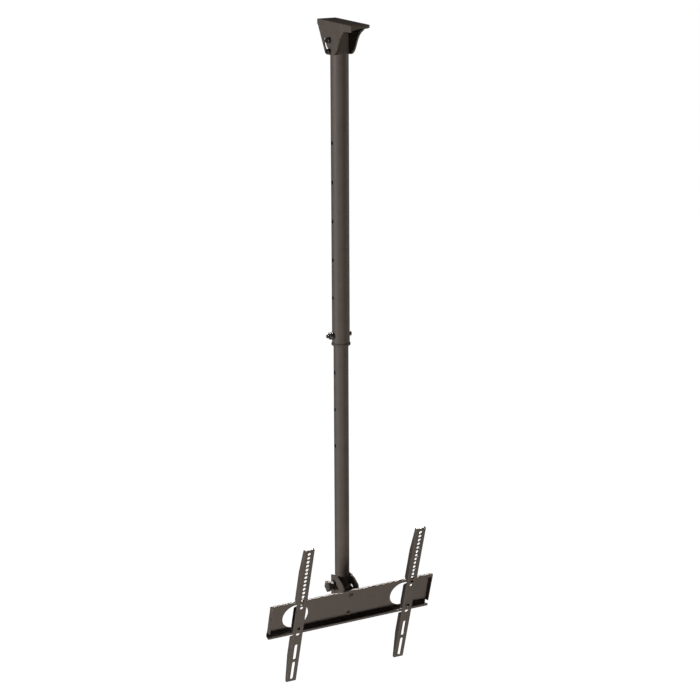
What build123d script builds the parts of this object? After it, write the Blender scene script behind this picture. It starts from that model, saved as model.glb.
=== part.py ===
from build123d import *
import os
from math import sin, cos, radians

os.makedirs("parts", exist_ok=True)

# ------------------------------------------------------------------
# Driving dimensions, millimetres.  Origin: ceiling plane, on the pole
# axis.  +Z up, -Y towards the screen side, X along the screen plate.
# ------------------------------------------------------------------

# ceiling bracket (one pressed sheet)
cb_sheet = 2.3            # sheet thickness
cb_half = 26.0            # half width over the ears
cb_front = -109.0         # front end of the top plate
cb_back = 69.5            # back end of the top plate
cb_tip = -7.8             # lower edge of the front end, right side
cb_tab = -16.5            # lower edge of the front end, left side
cb_hole_r = 5.0           # ceiling screw holes
cb_hole_y = (-84.0, 46.0)

# ceiling pivot and lock bolts
ceil_pivot_z = -45.0
ceil_lock_r = 27.6        # lock bolt below the pivot
ceil_slot_w = 8.6
ceil_slot_deg = 66.0

# upper pole tube
up_r = 22.5
up_wall = 2.0
up_top = -18.5
up_bottom = -806.6
pitch = 98.1              # cross-hole pitch in both tubes
height_z = -786.8         # height bolt
cross_r = 5.2             # cross-hole radius
up_holes = 6

# collar at the lower end of the upper tube
collar_r = 24.3
collar_h = 6.6

# lower pole tube
lo_r = 19.0
lo_wall = 2.0
lo_top = -440.0
lo_bottom = -1522.4

# tilt head
tilt_z = -1501.4          # tilt pivot
tilt_deg = 16.4           # screen plate leans forward at rest
tilt_lock_r = 35.0        # lock bolt above the pivot
tb_sheet = 2.4
tb_in = 19.8              # half gap between the ears
tb_web_front = 40.4       # distance of the web's front face ahead of the pivot
tb_web_top = 50.6         # upper edge of the web between the ears

# screen plate (one folded sheet: upturned lip, sunk face, trough)
pl_sheet = 2.2
pl_half = 234.0
pl_face = 42.6            # front of the sunk face, ahead of the pivot
pl_front = 56.9           # front of the lips, ahead of the pivot
pl_top = 61.4             # top of the upper lip
pl_up_flange = 50.7       # underside of the upper flange
pl_bottom = -47.0         # underside of the trough
pl_lip = -38.2            # top of the trough's lip
pl_side = (-33.5, -27.5)  # lower edge of the side flanges, back and front
pl_cut_x = 157.2          # round cut-outs
pl_cut_z = 3.2
pl_cut_r = 36.6
pl_screw_z = (34.0, -24.4)

# hook arms (folded channels)
arm_left_x = -151.6
arm_right_x = 169.7
arm_half = 14.4
arm_sheet = 2.0
arm_front = 59.2          # front of the web, ahead of the pivot
arm_back = 43.3           # back edge of the flanges, ahead of the pivot
arm_top = 225.8
arm_bottom = -204.4
arm_hole_r = 4.4
arm_hole_top = 213.4
arm_hole_pitch = 12.37
arm_hole_count = 15

# knob
knob_r = 15.4
knob_out = 45.4           # outer face, from the pole axis

# ------------------------------------------------------------------
# Planes of the leaning head.  Distances there are measured from the
# tilt pivot: along X, ahead of the pivot, and up the plate.
# ------------------------------------------------------------------
tl = radians(tilt_deg)
ahead = Vector(0, -cos(tl), -sin(tl))
upward = Vector(0, -sin(tl), cos(tl))
pivot = Vector(0, 0, tilt_z)


def front(d):
    """Plane parallel to the screen plate, d ahead of the pivot; x = X, y = up the plate."""
    return Plane(origin=pivot + ahead * d, x_dir=(1, 0, 0), z_dir=ahead)


def side(x):
    """Plane across the head at X = x; x = behind the pivot, y = up the plate."""
    return Plane(origin=pivot + Vector(x, 0, 0), x_dir=ahead * -1, z_dir=(1, 0, 0))


up_axis = Axis((0, 0, 0), (upward.X, upward.Y, upward.Z))


# ------------------------------------------------------------------
# Fasteners along X
# ------------------------------------------------------------------
def shank_points(d, x_head, x_end, thread, p):
    """Half outline of a shank from the head to its end, with thread crests and roots."""
    r = d / 2
    pts = [(x_head, 0), (x_head, r)]
    n = int(thread / p)
    x0 = x_end + 0.8 + n * p
    pts.append((x0, r))
    for i in range(n):
        pts.append((x0 - (i + 0.5) * p, r - 0.55 * p))
        pts.append((x0 - (i + 1.0) * p, r - 0.06 * p))
    pts += [(x_end, r - 0.6 * p), (x_end, 0)]
    return pts


def hex_bolt(z, d, af, k, x_head, x_end, thread, p):
    """Hexagon bolt along X: head underside at x_head on the +X side, thread end at x_end."""
    axis = Axis((0, 0, z), (1, 0, 0))
    with BuildPart() as b:
        with BuildSketch(Plane.YZ.offset(x_head)):
            with Locations((0, z)):
                RegularPolygon(af / 2, 6, major_radius=False)
        extrude(amount=k)
        with BuildSketch(Plane.XY.offset(z)):
            with BuildLine():
                Polyline((x_head, 0), (x_head, 0.62 * af), (x_head + k - 0.085 * af, 0.62 * af),
                         (x_head + k, 0.47 * af), (x_head + k, 0), close=True)
            make_face()
        revolve(axis=axis, mode=Mode.INTERSECT)
        with BuildSketch(Plane.XY.offset(z)):
            with BuildLine():
                Polyline(*shank_points(d, x_head, x_end, thread, p), close=True)
            make_face()
        revolve(axis=axis)
    return b.part


def cap_bolt(z, d, head_r, k, socket, x_head, x_end, thread, p):
    """Bolt along X with a slim round socket head on the +X side."""
    axis = Axis((0, 0, z), (1, 0, 0))
    with BuildPart() as b:
        with BuildSketch(Plane.XY.offset(z)):
            with BuildLine():
                Polyline((x_head, 0), (x_head, head_r), (x_head + k - 0.8, head_r), (x_head + k, head_r - 0.8),
                         (x_head + k, 0), close=True)
            make_face()
        revolve(axis=axis)
        with BuildSketch(Plane.XY.offset(z)):
            with BuildLine():
                Polyline(*shank_points(d, x_head, x_end, thread, p), close=True)
            make_face()
        revolve(axis=axis)
        with BuildSketch(Plane.YZ.offset(x_head + k)):
            with Locations((0, z)):
                RegularPolygon(socket / 2, 6, major_radius=False)
        extrude(amount=-3.4, mode=Mode.SUBTRACT)
    return b.part


def hex_nut(z, d, af, x_in, x_out, collar=0.0):
    """Hexagon nut along X between x_in and x_out, with an optional round locking collar."""
    axis = Axis((0, 0, z), (1, 0, 0))
    s = 1 if x_out > x_in else -1
    h = abs(x_out - x_in) - collar
    c = 0.085 * af
    with BuildPart() as b:
        with BuildSketch(Plane.YZ.offset(x_in)):
            with Locations((0, z)):
                RegularPolygon(af / 2, 6, major_radius=False)
        extrude(amount=s * h)
        with BuildSketch(Plane.XY.offset(z)):
            with BuildLine():
                Polyline((x_in, 0), (x_in, 0.49 * af), (x_in + s * c, 0.62 * af), (x_in + s * (h - c), 0.62 * af),
                         (x_in + s * h, 0.475 * af), (x_in + s * h, 0), close=True)
            make_face()
        revolve(axis=axis, mode=Mode.INTERSECT)
        if collar > 0:
            with BuildSketch(Plane.XY.offset(z)):
                with BuildLine():
                    Polyline((x_in + s * h, 0), (x_in + s * h, 0.46 * af), (x_in + s * (h + 0.6 * collar), 0.46 * af),
                             (x_out, 0.40 * af), (x_out, 0), close=True)
                make_face()
            revolve(axis=axis)
        with BuildSketch(Plane.YZ):
            with Locations((0, z)):
                Circle(d / 2 + 0.06)
        extrude(amount=80, both=True, mode=Mode.SUBTRACT)
    return b.part


def washers(z, bore_r, out_r, t, starts):
    """Flat washers along X; each start is the inner face, growing away from the pole."""
    axis = Axis((0, 0, z), (1, 0, 0))
    c = 0.25
    with BuildPart() as b:
        for x in starts:
            s = 1 if x > 0 else -1
            with BuildSketch(Plane.XY.offset(z)):
                with BuildLine():
                    Polyline((x, bore_r), (x, out_r), (x + s * (t - c), out_r), (x + s * t, out_r - c),
                             (x + s * t, bore_r), close=True)
                make_face()
            revolve(axis=axis)
    return b.part


# ------------------------------------------------------------------
# Ceiling bracket: top plate, ears and end lips in one pressed sheet
# ------------------------------------------------------------------
ceil_lock_z = ceil_pivot_z - ceil_lock_r
ceil_slot_line = CenterArc((0, ceil_pivot_z), ceil_lock_r, -90, ceil_slot_deg)

with BuildPart() as ceiling_bracket:
    # ear outline: straight raked back edge, round nose, trumpet front edge
    with BuildSketch(Plane.YZ):
        with BuildLine():
            Polyline((cb_front, cb_tip), (cb_front, 0), (cb_back, 0), (cb_back, -11.2), (64.4, -14.1), (33.4, -66.4))
            Spline((33.4, -66.4), (28.2, -74.4), (14.4, -79.6), (0, -80.8), (-12.4, -80.4), (-23.6, -77.0),
                   (-31.8, -70.6), (-38.0, -62.2), (-44.0, -51.0), (-50.4, -40.0), (-58.2, -30.2),
                   (-66.8, -22.9), (-76.4, -17.2), (-87.2, -12.1), (-98.2, -9.0), (cb_front, cb_tip),
                   tangents=((-0.51, -0.86), (-1, 0.03)))
        make_face()
    extrude(amount=cb_half, both=True)
    # front end: deeper on the left, its lower edge rising to the right
    with BuildSketch(Plane.XZ.offset(-cb_front)):
        with BuildLine():
            Polyline((-cb_half, cb_tab), (-cb_half, 0), (cb_half, 0), (cb_half, cb_tip))
            Spline((cb_half, cb_tip), (9, -7.9), (0, -8.5), (-8, -9.7), (-15.5, -11.2), (-cb_half, cb_tab))
        make_face()
    extrude(amount=cb_front + 75.4)
    # rounded corners of the pressing, seen from above, then along the top
    corners = ceiling_bracket.edges().filter_by(Axis.Z).filter_by(
        lambda e: abs(abs(e.center().X) - cb_half) < 0.1
        and min(abs(e.center().Y - cb_front), abs(e.center().Y - cb_back)) < 0.1)
    fillet(corners, radius=1.8)
    fillet(ceiling_bracket.faces().sort_by(Axis.Z)[-1].edges(), radius=1.5)
    # hollow under the sheet
    with BuildSketch(Plane.XY.offset(-cb_sheet)):
        with Locations((0, (cb_front + cb_back) / 2)):
            RectangleRounded(2 * (cb_half - cb_sheet), cb_back - cb_front - 2 * cb_sheet, 0.4)
    extrude(amount=-100, mode=Mode.SUBTRACT)
    # ceiling screw holes
    with Locations(*[(0, y, 0) for y in cb_hole_y]):
        Hole(cb_hole_r, depth=20)
    # pivot holes, arc slots and the small hole beyond the end of each slot
    with BuildSketch(Plane.YZ):
        with Locations((0, ceil_pivot_z)):
            Circle(4.2)
        SlotArc(ceil_slot_line, ceil_slot_w)
        with Locations((30.3, -45.0)):
            Circle(3.4)
    extrude(amount=60, both=True, mode=Mode.SUBTRACT)
ceiling_bracket.part.label = "ceiling_bracket"

# ------------------------------------------------------------------
# Upper pole
# ------------------------------------------------------------------
with BuildPart() as upper_tube:
    with BuildSketch(Plane.XY.offset(up_bottom)):
        Circle(up_r)
        Circle(up_r - up_wall, mode=Mode.SUBTRACT)
    extrude(amount=up_top - up_bottom)
    chamfer(upper_tube.edges().filter_by(GeomType.CIRCLE), length=0.4)
    with BuildSketch(Plane.YZ):
        with Locations((0, ceil_pivot_z)):
            Circle(4.08)
        with Locations((0, ceil_lock_z)):
            Circle(4.2)
        with Locations(*[(0, height_z + i * pitch) for i in range(up_holes)]):
            Circle(cross_r)
    extrude(amount=40, both=True, mode=Mode.SUBTRACT)
upper_tube.part.label = "upper_tube"

with BuildPart() as pole_collar:
    with BuildSketch(Plane.XZ):
        with BuildLine():
            Polyline((lo_r + 0.08, up_bottom - collar_h), (collar_r - 1.0, up_bottom - collar_h),
                     (collar_r, up_bottom - collar_h + 1.0), (collar_r, up_bottom - 1.2),
                     (collar_r - 1.2, up_bottom), (up_r - up_wall - 0.08, up_bottom),
                     (up_r - up_wall - 0.08, up_bottom + 10), (lo_r + 0.08, up_bottom + 10), close=True)
        make_face()
    revolve(axis=Axis.Z)
pole_collar.part.label = "pole_collar"

ceil_out = cb_half
ceiling_pivot_bolt = hex_bolt(ceil_pivot_z, 8, 13, 5.3, ceil_out + 1.6, -(ceil_out + 11.6), 11, 1.25)
ceiling_pivot_bolt.label = "ceiling_pivot_bolt"
ceiling_pivot_nut = hex_nut(ceil_pivot_z, 8, 13, -(ceil_out + 1.6), -(ceil_out + 9.4), 2.0)
ceiling_pivot_nut.label = "ceiling_pivot_nut"
ceiling_pivot_washers = washers(ceil_pivot_z, 4.25, 8.0, 1.6, (ceil_out, -ceil_out))
ceiling_pivot_washers.label = "ceiling_pivot_washers"

lock_out = cb_half + 0.1
ceiling_lock_bolt = hex_bolt(ceil_lock_z, 8, 13, 5.3, lock_out + 1.6, -(lock_out + 11.6), 11, 1.25)
ceiling_lock_bolt.label = "ceiling_lock_bolt"
ceiling_lock_nut = hex_nut(ceil_lock_z, 8, 13, -(lock_out + 1.6), -(lock_out + 9.4), 2.0)
ceiling_lock_nut.label = "ceiling_lock_nut"
ceiling_lock_washers = washers(ceil_lock_z, 4.25, 8.0, 1.6, (lock_out, -lock_out))
ceiling_lock_washers.label = "ceiling_lock_washers"

h_out = up_r + 0.1
height_bolt = cap_bolt(height_z, 10, 6.0, 5.8, 5.0, h_out, -(h_out + 17.4), 17, 1.5)
height_bolt.label = "height_bolt"
height_nut = hex_nut(height_z, 10, 17, -(h_out + 2.0), -(h_out + 10.2))
height_nut.label = "height_nut"
height_washer = washers(height_z, 5.25, 10.2, 2.0, (-h_out,))
height_washer.label = "height_washer"

# ------------------------------------------------------------------
# Lower pole
# ------------------------------------------------------------------
tilt_lock_z = tilt_z + tilt_lock_r

with BuildPart() as lower_tube:
    with BuildSketch(Plane.XY.offset(lo_bottom)):
        Circle(lo_r)
        Circle(lo_r - lo_wall, mode=Mode.SUBTRACT)
    extrude(amount=lo_top - lo_bottom)
    chamfer(lower_tube.edges().filter_by(GeomType.CIRCLE), length=0.4)
    with BuildSketch(Plane.YZ):
        with Locations(*[(0, height_z + i * pitch) for i in range(-3, 4)]):
            Circle(cross_r)
        with Locations((0, tilt_z)):
            Circle(4.08)
        with Locations((0, tilt_lock_z)):
            Circle(3.15)
    extrude(amount=40, both=True, mode=Mode.SUBTRACT)
lower_tube.part.label = "lower_tube"

# guide bush plugged into the hidden top end, running in the upper tube
with BuildPart() as guide_bush:
    with BuildSketch(Plane.XZ):
        with BuildLine():
            Polyline((14.0, lo_top - 20), (lo_r - lo_wall - 0.08, lo_top - 20), (lo_r - lo_wall - 0.08, lo_top),
                     (up_r - up_wall - 0.10, lo_top), (up_r - up_wall - 0.10, lo_top + 7),
                     (up_r - up_wall - 1.2, lo_top + 8), (14.0, lo_top + 8), close=True)
        make_face()
    revolve(axis=Axis.Z)
guide_bush.part.label = "guide_bush"

# ------------------------------------------------------------------
# Tilt head
# ------------------------------------------------------------------
tb_out = tb_in + tb_sheet
tilt_slot_line = CenterArc((0, 0), tilt_lock_r, 63.0, 41.5)

with BuildPart() as tilt_bracket:
    # ear outline: bowed top edge, clipped back corner, raked back edge
    with BuildSketch(side(0)):
        with BuildLine():
            Spline((-tb_web_front, 55.2), (-33, 60.0), (-20, 63.4), (-5, 64.8), (6, 63.8), (16.5, 60.9))
            Polyline((16.5, 60.9), (36.6, 49.0), (15.7, -19.5), (5.5, -28.5), (-tb_web_front, -28.5),
                     (-tb_web_front, 55.2))
        f = make_face()
        fillet(f.vertices().sort_by(Axis.X)[2:], radius=3.5)
    extrude(amount=tb_out, both=True)
    # outer bends along the web
    fillet(tilt_bracket.faces().sort_by(Axis((0, 0, 0), (ahead.X, ahead.Y, ahead.Z)))[-1].edges().filter_by(up_axis),
           radius=3.2)
    # room for the pole between the ears
    with BuildSketch(side(0)):
        with BuildLine():
            Polyline((-tb_web_front + tb_sheet, -60), (-tb_web_front + tb_sheet, 90), (80, 90), (80, -60), close=True)
        make_face()
    extrude(amount=tb_in, both=True, mode=Mode.SUBTRACT)
    # lowered upper edge of the web
    with BuildSketch(side(0)):
        with BuildLine():
            Polyline((-tb_web_front - 1, tb_web_top), (-tb_web_front - 1, 90), (-tb_web_front + tb_sheet + 1, 90),
                     (-tb_web_front + tb_sheet + 1, tb_web_top), close=True)
        make_face()
    extrude(amount=tb_in - 1.0, both=True, mode=Mode.SUBTRACT)
    # pivot holes and arc slots
    with BuildSketch(side(0)):
        Circle(4.2)
        SlotArc(tilt_slot_line, 7.2)
    extrude(amount=60, both=True, mode=Mode.SUBTRACT)
    # screw holes in the web
    with BuildSketch(front(tb_web_front)):
        with Locations(*[(0, z) for z in pl_screw_z]):
            Circle(3.3)
    extrude(amount=10, both=True, mode=Mode.SUBTRACT)
tilt_bracket.part.label = "tilt_bracket"

tilt_out = tb_out
tilt_pivot_bolt = hex_bolt(tilt_z, 8, 13, 5.3, tilt_out + 1.6, -(tilt_out + 11.6), 11, 1.25)
tilt_pivot_bolt.label = "tilt_pivot_bolt"
tilt_pivot_nut = hex_nut(tilt_z, 8, 13, -(tilt_out + 1.6), -(tilt_out + 9.4), 2.0)
tilt_pivot_nut.label = "tilt_pivot_nut"
tilt_pivot_washers = washers(tilt_z, 4.25, 8.0, 1.6, (tilt_out, -tilt_out))
tilt_pivot_washers.label = "tilt_pivot_washers"

tlock_out = tb_out + 0.1
tilt_lock_bolt = hex_bolt(tilt_lock_z, 6, 10, 4.0, tlock_out + 1.6, -(knob_out - 3.4), 13, 1.0)
tilt_lock_bolt.label = "tilt_lock_bolt"
tilt_lock_washers = washers(tilt_lock_z, 3.2, 7.4, 1.6, (tlock_out, -tlock_out))
tilt_lock_washers.label = "tilt_lock_washers"

# lobed hand knob with a turned hub and a blind threaded insert
knob_in = tlock_out + 1.9
knob_face = knob_out - 9.5
with BuildPart() as tilt_knob:
    with BuildSketch(Plane.YZ.offset(-knob_face)) as knob_plan:
        with Locations((0, tilt_lock_z)):
            Circle(knob_r - 2.6)
            with PolarLocations(knob_r - 4.6, 5, start_angle=-90):
                Circle(4.6)
        fillet(knob_plan.vertices(), radius=2.2)
    extrude(amount=-(knob_out - knob_face))
    fillet(tilt_knob.faces().sort_by(Axis.X)[0].edges(), radius=1.6)
    fillet(tilt_knob.faces().sort_by(Axis.X)[-1].edges(), radius=1.2)
    with BuildSketch(Plane.XY.offset(tilt_lock_z)):
        with BuildLine():
            Polyline((-knob_in, 0), (-knob_in, 8.2), (-(knob_in + 0.8), 9.0), (-knob_face, 10.2),
                     (-(knob_face + 2), 10.2), (-(knob_face + 2), 0), close=True)
        make_face()
    revolve(axis=Axis((0, 0, tilt_lock_z), (1, 0, 0)))
    # bore for the insert and a shallow dish in the outer face
    with BuildSketch(Plane.YZ.offset(-knob_in)):
        with Locations((0, tilt_lock_z)):
            Circle(6.0)
    extrude(amount=-(knob_out - 3.0 - knob_in), mode=Mode.SUBTRACT)
    with BuildSketch(Plane.XY.offset(tilt_lock_z)):
        with BuildLine():
            Polyline((-knob_out, 0), (-knob_out, 7.6), (-(knob_out - 1.0), 6.6), (-(knob_out - 1.0), 0), close=True)
        make_face()
    revolve(axis=Axis((0, 0, tilt_lock_z), (1, 0, 0)), mode=Mode.SUBTRACT)
tilt_knob.part.label = "tilt_knob"

with BuildPart() as knob_insert:
    with BuildSketch(Plane.YZ.offset(-knob_in)):
        with Locations((0, tilt_lock_z)):
            Circle(5.97)
            Circle(3.09, mode=Mode.SUBTRACT)
    extrude(amount=-(knob_out - 3.1 - knob_in))
knob_insert.part.label = "knob_insert"

# ------------------------------------------------------------------
# Screen plate: upturned lip, flange, sunk face and trough, with side flanges
# ------------------------------------------------------------------
s = pl_sheet
with BuildPart() as tv_plate:
    with BuildSketch(side(0)) as section:
        with BuildLine():
            Polyline((-pl_front, pl_top), (-pl_front, pl_up_flange), (-pl_face, pl_up_flange),
                     (-pl_face, pl_bottom + s), (-pl_front + s, pl_bottom + s), (-pl_front + s, pl_lip),
                     (-pl_front, pl_lip), (-pl_front, pl_bottom), (-pl_face + s, pl_bottom),
                     (-pl_face + s, pl_up_flange + s), (-pl_front + s, pl_up_flange + s), (-pl_front + s, pl_top),
                     close=True)
        make_face()
        # bends: tight inside, one sheet larger outside
        tight = [v for v in section.vertices()
                 if abs(v.X + pl_face) < 0.1
                 or (abs(v.X + pl_front - s) < 0.1 and (v.Y < pl_lip - 1 or pl_lip + 1 < v.Y < pl_top - 1))]
        fillet(tight, radius=1.0)
        wide = [v for v in section.vertices()
                if abs(v.X + pl_face - s) < 0.1
                or (abs(v.X + pl_front) < 0.1 and (v.Y < pl_lip - 1 or pl_lip + 1 < v.Y < pl_top - 1))]
        fillet(wide, radius=3.2)
    extrude(amount=pl_half, both=True)
    # side flanges, closing the ends from above the trough to the upper lip
    for sx in (-1, 1):
        with BuildSketch(side(sx * (pl_half - s))):
            with BuildLine():
                Polyline((-pl_face + s, pl_side[0]), (-pl_face, pl_side[0]), (-pl_front, pl_side[1]),
                         (-pl_front, pl_top), (-pl_front + s, pl_top), (-pl_face + s, pl_up_flange + s - 3.2),
                         close=True)
            make_face()
        extrude(amount=sx * s)
    # clipped upper corners
    for sx in (-1, 1):
        with BuildSketch(front(pl_front + 1)):
            with BuildLine():
                Polyline((sx * (pl_half - 13), pl_top + 0.2), (sx * (pl_half + 1), pl_top + 0.2),
                         (sx * (pl_half + 1), pl_top - 2.8), close=True)
            make_face()
        extrude(amount=-9, mode=Mode.SUBTRACT)
    # rounded bends between the face and the side flanges
    bend = 2.4
    y_back = -pl_face + s
    for sx in (-1, 1):
        with BuildSketch(Plane(origin=pivot + upward * pl_side[0], x_dir=(1, 0, 0), z_dir=upward)):
            with BuildLine():
                Polyline((sx * (pl_half - bend), y_back), (sx * (pl_half - bend), y_back + 1),
                         (sx * (pl_half + 1), y_back + 1), (sx * (pl_half + 1), y_back - bend),
                         (sx * pl_half, y_back - bend))
                ThreePointArc((sx * pl_half, y_back - bend),
                              (sx * (pl_half - 0.2929 * bend), y_back - 0.2929 * bend),
                              (sx * (pl_half - bend), y_back))
            make_face()
        extrude(amount=pl_up_flange + s - 3.2 - pl_side[0], mode=Mode.SUBTRACT)
    # round cut-outs in the sunk face
    with BuildSketch(front(pl_face)):
        with Locations((-pl_cut_x, pl_cut_z), (pl_cut_x, pl_cut_z)):
            Circle(pl_cut_r)
    extrude(amount=6, both=True, mode=Mode.SUBTRACT)
    # screw holes
    with BuildSketch(front(pl_face)):
        with Locations(*[(0, z) for z in pl_screw_z]):
            Circle(3.3)
    extrude(amount=6, both=True, mode=Mode.SUBTRACT)
tv_plate.part.label = "tv_plate"

# domed socket screws through plate and web, and their nuts
with BuildPart() as plate_screws:
    for z in pl_screw_z:
        ax = Axis(pivot + upward * z, ahead)
        with BuildSketch(Plane(origin=pivot + upward * z, x_dir=ahead, z_dir=(1, 0, 0))):
            with BuildLine():
                Polyline((pl_face + 4.0, 2.6), (pl_face + 4.0, 0), (30.2, 0), (30.2, 2.5), (30.8, 3.0), (pl_face, 3.0),
                         (pl_face, 6.3), (pl_face + 0.5, 6.3))
                ThreePointArc((pl_face + 0.5, 6.3), (pl_face + 2.9, 4.85), (pl_face + 4.0, 2.6))
            make_face()
        revolve(axis=ax)
    with BuildSketch(front(pl_face + 4.0)):
        with Locations(*[(0, z) for z in pl_screw_z]):
            RegularPolygon(2.0, 6, major_radius=False)
    extrude(amount=-2.6, mode=Mode.SUBTRACT)
plate_screws.part.label = "plate_screws"

with BuildPart() as plate_nuts:
    with BuildSketch(front(tb_web_front - tb_sheet)):
        with Locations(*[(0, z) for z in pl_screw_z]):
            RegularPolygon(5.0, 6, major_radius=False)
            Circle(3.06, mode=Mode.SUBTRACT)
    extrude(amount=-5.0)
plate_nuts.part.label = "plate_nuts"


# ------------------------------------------------------------------
# Hook arms: channels with hook notches, a hole row and long slots
# ------------------------------------------------------------------
def hook_arm(xc):
    w = arm_front - arm_sheet          # back of the web
    with BuildPart() as arm:
        # channel blank, flanges tapering towards both ends
        with BuildSketch(side(xc)):
            with BuildLine():
                Polyline((-arm_front, arm_top), (-52.4, arm_top), (-51.6, arm_top - 0.9), (-arm_back, 150.0),
                         (-arm_back, -125.0), (-52.4, arm_bottom + 1.2), (-53.6, arm_bottom),
                         (-arm_front, arm_bottom), close=True)
            make_face()
        extrude(amount=arm_half, both=True)
        # rounded front corners of the channel
        fillet(arm.faces().sort_by(Axis((0, 0, 0), (ahead.X, ahead.Y, ahead.Z)))[-1].edges().filter_by(up_axis),
               radius=1.8)
        # notches in the flanges: hook over the upper lip, and room for the trough
        with BuildSketch(side(xc)):
            with BuildLine():
                Polyline((-w, pl_top + 0.4), (-53.9, pl_top + 0.4), (-53.9, 57.0), (-52.3, 55.4), (-49.0, 55.4),
                         (-arm_back, 59.0), (-38, 59.0), (-38, 33.8), (-arm_back, 33.8), (-w, 50.2), close=True)
            make_face()
            with BuildLine():
                Polyline((-w, -37.8), (-53.0, -37.8), (-arm_back, -25.5), (-38, -25.5), (-38, -61.5),
                         (-arm_back, -61.5), (-w, -47.2), close=True)
            make_face()
        extrude(amount=40, both=True, mode=Mode.SUBTRACT)
        # inside of the channel
        with BuildSketch(side(xc)):
            with BuildLine():
                Polyline((-w, -260), (-w, 290), (0, 290), (0, -260), close=True)
            make_face()
        extrude(amount=arm_half - arm_sheet, both=True, mode=Mode.SUBTRACT)
        # hole row, fixing holes and long slots through the web
        with BuildSketch(front(arm_front)):
            with Locations(*[(xc, arm_hole_top - i * arm_hole_pitch) for i in range(arm_hole_count)]):
                Circle(arm_hole_r)
            with Locations((xc, -27.3)):
                Circle(4.8)
            with Locations((xc, -45.3)):
                Circle(5.4)
            with Locations((xc, -105.4)):
                SlotOverall(49.8, 8.2, rotation=90)
            with Locations((xc, -168.2)):
                SlotOverall(58.8, 8.2, rotation=90)
        extrude(amount=5, both=True, mode=Mode.SUBTRACT)
    return arm.part


arm_left = hook_arm(arm_left_x)
arm_left.label = "arm_left"
arm_right = hook_arm(arm_right_x)
arm_right.label = "arm_right"

# ------------------------------------------------------------------
# One file per piece
# ------------------------------------------------------------------
export_step(ceiling_bracket.part, "parts/ceiling_bracket.step")
export_step(ceiling_pivot_bolt, "parts/ceiling_pivot_bolt.step")
export_step(ceiling_pivot_nut, "parts/ceiling_pivot_nut.step")
export_step(ceiling_pivot_washers, "parts/ceiling_pivot_washers.step")
export_step(upper_tube.part, "parts/upper_tube.step")
export_step(pole_collar.part, "parts/pole_collar.step")
export_step(ceiling_lock_bolt, "parts/ceiling_lock_bolt.step")
export_step(ceiling_lock_nut, "parts/ceiling_lock_nut.step")
export_step(ceiling_lock_washers, "parts/ceiling_lock_washers.step")
export_step(height_bolt, "parts/height_bolt.step")
export_step(height_nut, "parts/height_nut.step")
export_step(height_washer, "parts/height_washer.step")
export_step(lower_tube.part, "parts/lower_tube.step")
export_step(guide_bush.part, "parts/guide_bush.step")
export_step(tilt_bracket.part, "parts/tilt_bracket.step")
export_step(tilt_pivot_bolt, "parts/tilt_pivot_bolt.step")
export_step(tilt_pivot_nut, "parts/tilt_pivot_nut.step")
export_step(tilt_pivot_washers, "parts/tilt_pivot_washers.step")
export_step(tilt_lock_bolt, "parts/tilt_lock_bolt.step")
export_step(tilt_lock_washers, "parts/tilt_lock_washers.step")
export_step(tilt_knob.part, "parts/tilt_knob.step")
export_step(knob_insert.part, "parts/knob_insert.step")
export_step(tv_plate.part, "parts/tv_plate.step")
export_step(plate_screws.part, "parts/plate_screws.step")
export_step(plate_nuts.part, "parts/plate_nuts.step")
export_step(arm_left, "parts/arm_left.step")
export_step(arm_right, "parts/arm_right.step")
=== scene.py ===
from math import sin, cos, radians

import bpy
from mathutils import Matrix, Vector

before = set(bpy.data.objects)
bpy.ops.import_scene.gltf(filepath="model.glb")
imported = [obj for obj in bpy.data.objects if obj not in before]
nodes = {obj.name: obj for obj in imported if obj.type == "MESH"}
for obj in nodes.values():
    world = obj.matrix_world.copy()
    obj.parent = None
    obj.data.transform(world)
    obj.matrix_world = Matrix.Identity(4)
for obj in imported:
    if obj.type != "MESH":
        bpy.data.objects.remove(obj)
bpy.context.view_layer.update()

scene = bpy.context.scene

# ------------------------------------------------------------------
# Camera at the photograph's viewing angle
# ------------------------------------------------------------------
azimuth, pitch, roll = radians(27.21), radians(16.26), radians(-0.219)
look = Vector((sin(azimuth) * cos(pitch), cos(azimuth) * cos(pitch), -sin(pitch)))
right = Vector((cos(azimuth), -sin(azimuth), 0.0))
up = right.cross(look)
right_r = right * cos(roll) + up * sin(roll)
up_r = up * cos(roll) - right * sin(roll)
place = Vector((-2.0989055, -4.1322493, 0.5240900))

cam_data = bpy.data.cameras.new("camera")
cam_data.sensor_width = 36.0
cam_data.lens = 1905.0 / 700.0 * 36.0
cam_data.clip_end = 500.0
cam = bpy.data.objects.new("camera", cam_data)
cam.matrix_world = Matrix((
    (right_r.x, up_r.x, -look.x, place.x),
    (right_r.y, up_r.y, -look.y, place.y),
    (right_r.z, up_r.z, -look.z, place.z),
    (0.0, 0.0, 0.0, 1.0),
))
scene.collection.objects.link(cam)
scene.camera = cam


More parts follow.
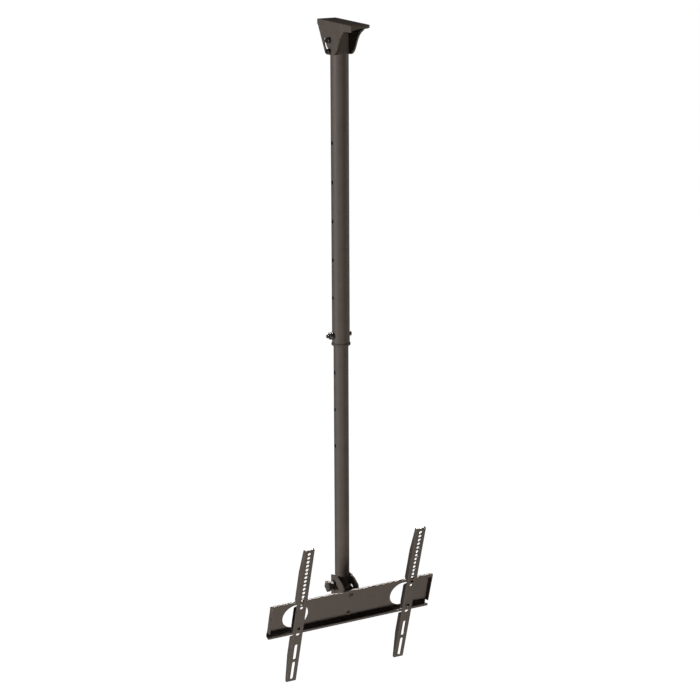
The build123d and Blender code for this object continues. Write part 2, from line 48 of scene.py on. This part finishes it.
# ------------------------------------------------------------------
# Materials
# ------------------------------------------------------------------
class Nodes:
    """Small helper around one material's node tree."""

    def __init__(self, name):
        self.mat = bpy.data.materials.new(name)
        self.mat.use_nodes = True
        self.tree = self.mat.node_tree
        self.tree.nodes.clear()
        self.out = self.add("ShaderNodeOutputMaterial")
        self.bsdf = self.add("ShaderNodeBsdfPrincipled")
        self.link(self.bsdf, "BSDF", self.out, "Surface")
        self.where = self.add("ShaderNodeTexCoord")

    def add(self, kind, **values):
        n = self.tree.nodes.new(kind)
        for k, v in values.items():
            setattr(n, k, v)
        return n

    def link(self, a, a_socket, b, b_socket):
        self.tree.links.new(a.outputs[a_socket], b.inputs[b_socket])

    def noise(self, scale, detail=2.0, rough=0.5, stretch=None):
        n = self.add("ShaderNodeTexNoise")
        n.inputs["Scale"].default_value = scale
        n.inputs["Detail"].default_value = detail
        n.inputs["Roughness"].default_value = rough
        if stretch:
            m = self.add("ShaderNodeMapping")
            m.inputs["Scale"].default_value = stretch
            self.link(self.where, "Object", m, "Vector")
            self.link(m, "Vector", n, "Vector")
        else:
            self.link(self.where, "Object", n, "Vector")
        return n

    def span(self, src, socket, lo, hi, to_lo, to_hi):
        m = self.add("ShaderNodeMapRange")
        m.inputs["From Min"].default_value = lo
        m.inputs["From Max"].default_value = hi
        m.inputs["To Min"].default_value = to_lo
        m.inputs["To Max"].default_value = to_hi
        self.link(src, socket, m, "Value")
        return m

    def mix(self, fac, fac_socket, a, b):
        """Colour mix; a and b are colours or (node, socket)."""
        m = self.add("ShaderNodeMix", data_type="RGBA")
        self.tree.links.new(fac.outputs[fac_socket], m.inputs[0])
        for value, socket in ((a, m.inputs[6]), (b, m.inputs[7])):
            if isinstance(value[0], (int, float)):
                socket.default_value = (*value[:3], 1.0)
            else:
                self.tree.links.new(value[0].outputs[value[1]], socket)
        return m, 2

    def edge(self, radius, lo, hi):
        """(bevel node, mask): the mask is 1 on sharp edges and 0 on flats and smooth curves."""
        bevel = self.add("ShaderNodeBevel", samples=6)
        bevel.inputs["Radius"].default_value = radius
        geo = self.add("ShaderNodeNewGeometry")
        dot = self.add("ShaderNodeVectorMath", operation="DOT_PRODUCT")
        self.tree.links.new(bevel.outputs[0], dot.inputs[0])
        self.tree.links.new(geo.outputs["Normal"], dot.inputs[1])
        return bevel, self.span(dot, "Value", hi, lo, 0.0, 1.0)


def powder_coat(name, dark, light, speck, edge_highlight_tone, rough=(0.50, 0.62)):
    """Satin powder coat: soft mottling, fine specks, orange-peel skin, and lighter edges that are a painted
    edge highlight broken up by noise.
    """
    n = Nodes(name)
    cloud = n.noise(38.0, 3.0, 0.55)
    tone = n.mix(n.span(cloud, "Fac", 0.3, 0.7, 0.0, 1.0), "Result", dark, light)
    grain = n.noise(2600.0, 1.0, 0.4)
    specks = n.mix(n.span(grain, "Fac", 0.62, 0.74, 0.0, 0.55), "Result", tone, speck)
    # Lighter colour along sharp edges: a painted edge highlight, broken up by a noise so it is uneven.
    bevel, mask = n.edge(0.0006, 0.86, 0.99)
    highlight_breakup_noise = n.noise(420.0, 2.0, 0.6)
    painted_edge_highlight = n.add("ShaderNodeMath", operation="MULTIPLY")
    n.link(mask, "Result", painted_edge_highlight, 0)
    n.tree.links.new(n.span(highlight_breakup_noise, "Fac", 0.3, 0.6, 0.25, 0.8).outputs["Result"], painted_edge_highlight.inputs[1])
    # Mix the painted edge highlight colour into the coat colour.
    coat = n.mix(painted_edge_highlight, "Value", specks, edge_highlight_tone)
    n.tree.links.new(coat[0].outputs[coat[1]], n.bsdf.inputs["Base Color"])
    n.tree.links.new(n.span(cloud, "Fac", 0.25, 0.75, *rough).outputs["Result"], n.bsdf.inputs["Roughness"])
    peel = n.noise(900.0, 2.0, 0.5)
    bump = n.add("ShaderNodeBump")
    bump.inputs["Strength"].default_value = 0.16
    bump.inputs["Distance"].default_value = 0.00025
    n.link(peel, "Fac", bump, "Height")
    n.link(bevel, "Normal", bump, "Normal")
    n.link(bump, "Normal", n.bsdf, "Normal")
    n.bsdf.inputs["Specular IOR Level"].default_value = 0.25
    return n.mat


def zinc(name, dark, light, rough=(0.38, 0.54), metal=0.6):
    """Dark plated steel: cloudy passivation, fine turning marks and brighter edges painted on as an edge
    highlight.
    """
    n = Nodes(name)
    cloud = n.noise(260.0, 4.0, 0.6)
    tone = n.mix(n.span(cloud, "Fac", 0.32, 0.68, 0.0, 1.0), "Result", dark, light)
    bevel, mask = n.edge(0.00035, 0.86, 0.99)
    # Brighter colour on sharp edges: a painted edge highlight.
    edge_highlight_weight = n.add("ShaderNodeMath", operation="MULTIPLY")
    n.link(mask, "Result", edge_highlight_weight, 0)
    edge_highlight_weight.inputs[1].default_value = 0.6
    zinc_edge_highlight = n.mix(edge_highlight_weight, "Value", tone, (0.10, 0.092, 0.083))
    n.tree.links.new(zinc_edge_highlight[0].outputs[zinc_edge_highlight[1]], n.bsdf.inputs["Base Color"])
    n.bsdf.inputs["Metallic"].default_value = metal
    fine = n.noise(1800.0, 2.0, 0.5)
    n.tree.links.new(n.span(fine, "Fac", 0.3, 0.7, *rough).outputs["Result"], n.bsdf.inputs["Roughness"])
    bump = n.add("ShaderNodeBump")
    bump.inputs["Strength"].default_value = 0.12
    bump.inputs["Distance"].default_value = 0.0001
    n.link(fine, "Fac", bump, "Height")
    n.link(bevel, "Normal", bump, "Normal")
    n.link(bump, "Normal", n.bsdf, "Normal")
    return n.mat


def plastic(name, dark, light, rough=(0.56, 0.72)):
    """Moulded plastic with a fine spark-eroded grain and slightly lighter edges painted on as an edge
    highlight.
    """
    n = Nodes(name)
    cloud = n.noise(120.0, 3.0, 0.5)
    tone = n.mix(n.span(cloud, "Fac", 0.3, 0.7, 0.0, 1.0), "Result", dark, light)
    bevel, mask = n.edge(0.0005, 0.86, 0.99)
    # Lighter colour on sharp edges: a painted edge highlight.
    edge_highlight_weight = n.add("ShaderNodeMath", operation="MULTIPLY")
    n.link(mask, "Result", edge_highlight_weight, 0)
    edge_highlight_weight.inputs[1].default_value = 0.35
    plastic_edge_highlight = n.mix(edge_highlight_weight, "Value", tone, tuple(min(1.0, c * 2.6 + 0.01) for c in light))
    n.tree.links.new(plastic_edge_highlight[0].outputs[plastic_edge_highlight[1]], n.bsdf.inputs["Base Color"])
    grain = n.noise(2400.0, 2.0, 0.55)
    n.tree.links.new(n.span(grain, "Fac", 0.3, 0.7, *rough).outputs["Result"], n.bsdf.inputs["Roughness"])
    bump = n.add("ShaderNodeBump")
    bump.inputs["Strength"].default_value = 0.25
    bump.inputs["Distance"].default_value = 0.00012
    n.link(grain, "Fac", bump, "Height")
    n.link(bevel, "Normal", bump, "Normal")
    n.link(bump, "Normal", n.bsdf, "Normal")
    n.bsdf.inputs["Specular IOR Level"].default_value = 0.2
    return n.mat


def brass(name):
    """Turned brass: rings of slightly different tone along the turning axis."""
    n = Nodes(name)
    rings = n.noise(300.0, 2.0, 0.5, stretch=(12.0, 1.0, 1.0))
    tone = n.mix(n.span(rings, "Fac", 0.3, 0.7, 0.0, 1.0), "Result", (0.46, 0.31, 0.10), (0.64, 0.46, 0.18))
    n.tree.links.new(tone[0].outputs[tone[1]], n.bsdf.inputs["Base Color"])
    n.bsdf.inputs["Metallic"].default_value = 1.0
    n.tree.links.new(n.span(rings, "Fac", 0.3, 0.7, 0.24, 0.38).outputs["Result"], n.bsdf.inputs["Roughness"])
    return n.mat


# The last colour is the painted edge highlight tone.
coat = powder_coat("powder_coat", (0.098, 0.079, 0.067), (0.113, 0.092, 0.079), (0.152, 0.130, 0.114), (0.19, 0.167, 0.147))
bolt_steel = zinc("dark_zinc", (0.020, 0.018, 0.016), (0.036, 0.032, 0.029))
height_steel = zinc("bronze_zinc", (0.058, 0.050, 0.043), (0.086, 0.074, 0.064), metal=0.25)
collar_plastic = plastic("collar_plastic", (0.086, 0.072, 0.062), (0.100, 0.085, 0.074))
knob_plastic = plastic("knob_plastic", (0.082, 0.070, 0.060), (0.096, 0.083, 0.072))
bush_plastic = plastic("bush_plastic", (0.020, 0.019, 0.017), (0.030, 0.028, 0.025))
insert_brass = brass("insert_brass")

finish_of = {
    "ceiling_bracket": coat, "upper_tube": coat, "lower_tube": coat, "tilt_bracket": coat, "tv_plate": coat,
    "arm_left": coat, "arm_right": coat, "plate_screws": coat,
    "pole_collar": collar_plastic, "guide_bush": bush_plastic, "tilt_knob": knob_plastic,
    "knob_insert": insert_brass, "height_bolt": height_steel, "height_nut": height_steel,
}
for name, obj in nodes.items():
    material = finish_of.get(name, bolt_steel)
    obj.data.materials.clear()
    obj.data.materials.append(material)

# ------------------------------------------------------------------
# Pale floor, soft studio light
# ------------------------------------------------------------------
floor_mesh = bpy.data.meshes.new("floor")
s = 120.0
floor_mesh.from_pydata([(-s, -s, -12.0), (s, -s, -12.0), (s, s, -12.0), (-s, s, -12.0)], [], [(0, 1, 2, 3)])
floor = bpy.data.objects.new("floor", floor_mesh)
scene.collection.objects.link(floor)
f = Nodes("floor")
f.bsdf.inputs["Base Color"].default_value = (0.9, 0.9, 0.9, 1.0)
f.bsdf.inputs["Roughness"].default_value = 0.9
f.bsdf.inputs["Emission Color"].default_value = (1.0, 1.0, 1.0, 1.0)
f.bsdf.inputs["Emission Strength"].default_value = 1.0
floor_mesh.materials.append(f.mat)
floor.visible_diffuse = False
floor.visible_glossy = False
floor.visible_shadow = False

world = bpy.data.worlds.new("studio")
scene.world = world
world.use_nodes = True
world.node_tree.nodes["Background"].inputs["Color"].default_value = (1.0, 1.0, 1.0, 1.0)
world.node_tree.nodes["Background"].inputs["Strength"].default_value = 1.0
world.cycles_visibility.diffuse = False
world.cycles_visibility.glossy = False

centre = Vector((0.0, -0.03, -0.86))


def softbox(name, toward, distance, power, width, height, aim=None, spread=180.0, tint=(1.0, 1.0, 1.0)):
    """Area light seen from the object in the direction toward, turned to aim."""
    data = bpy.data.lights.new(name, "AREA")
    data.shape = "RECTANGLE"
    data.size, data.size_y = width, height
    data.energy = power
    data.color = tint
    lamp = bpy.data.objects.new(name, data)
    toward = Vector(toward).normalized()
    lamp.location = centre + toward * distance
    back = lamp.location - Vector(aim) if aim else toward
    lamp.rotation_euler = back.to_track_quat("Z", "Y").to_euler()
    data.spread = radians(spread)
    scene.collection.objects.link(lamp)
    return lamp


softbox("front_box", (0.08, -0.59, -0.80), 10.0, 615.0, 2.0, 4.0, tint=(1.0, 0.955, 0.89))
softbox("left_box", (-1.0, -0.03, 0.03), 14.0, 1660.0, 1.6, 2.4)
softbox("right_box", (1.0, -0.06, 0.0), 10.0, 190.0, 1.5, 2.0)
softbox("fill_box", (-0.55, -0.82, 0.10), 6.0, 13.0, 2.0, 2.0)
softbox("top_box", (0.0, -0.1, 1.0), 4.0, 30.0, 1.0, 1.0)
softbox("rim_box", (0.218, 0.675, 0.703), 3.94, 13.0, 1.2, 0.5, (0.0, -0.06, -1.46), 20.0)
softbox("back_box", (0.10, 1.0, -0.10), 8.0, 14.0, 3.0, 4.0)

scene.view_settings.view_transform = "Standard"
scene.view_settings.look = "None"
